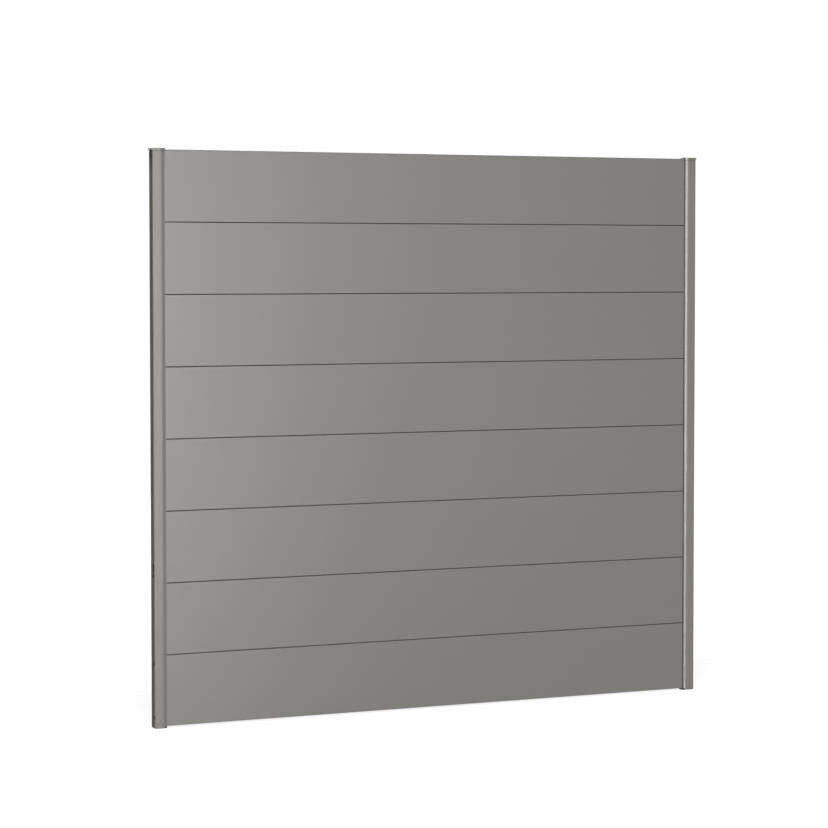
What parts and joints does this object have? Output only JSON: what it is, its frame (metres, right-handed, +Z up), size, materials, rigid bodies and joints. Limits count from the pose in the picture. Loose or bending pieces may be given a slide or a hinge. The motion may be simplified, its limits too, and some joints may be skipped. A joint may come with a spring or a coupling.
{
  "type": "screen wall panel",
  "caption": "Flat privacy screen of wide horizontal hollow boards with shadow seams, held in the channels of slim capped posts with side fixing holes.",
  "frame": {"origin": "on the floor, midway between the posts and midway through their depth", "axes": "+X along the panel's width to the right seen from the front, -Y out of the front, +Z up"},
  "size_m": [1.964, 0.036, 1.809],
  "materials": {
    "post_coat": "satin fine metallic powder coat",
    "cap_coat": "satin fine metallic powder coat",
    "board_coat": "satin fine metallic powder coat",
    "seam_plastic": "matt black extruded plastic",
    "foot_plastic": "matt dark moulded plastic",
    "gasket_rubber": "matt black rubber"
  },
  "bodies": {
    "root": {"left_post": "post_coat", "right_post": "post_coat", "left_post_cap": "cap_coat", "right_post_cap": "cap_coat", "board_1": "board_coat", "board_2": "board_coat", "board_3": "board_coat", "board_4": "board_coat", "board_5": "board_coat", "board_6": "board_coat", "board_7": "board_coat", "board_8": "board_coat", "top_edge_strip": "board_coat", "joining_strip_1": "seam_plastic", "joining_strip_2": "seam_plastic", "joining_strip_3": "seam_plastic", "joining_strip_4": "seam_plastic", "joining_strip_5": "seam_plastic", "joining_strip_6": "seam_plastic", "joining_strip_7": "seam_plastic", "left_post_foot": "foot_plastic", "right_post_foot": "foot_plastic", "left_front_gasket": "gasket_rubber", "left_rear_gasket": "gasket_rubber", "right_front_gasket": "gasket_rubber", "right_rear_gasket": "gasket_rubber"}
  },
  "joints": []
}
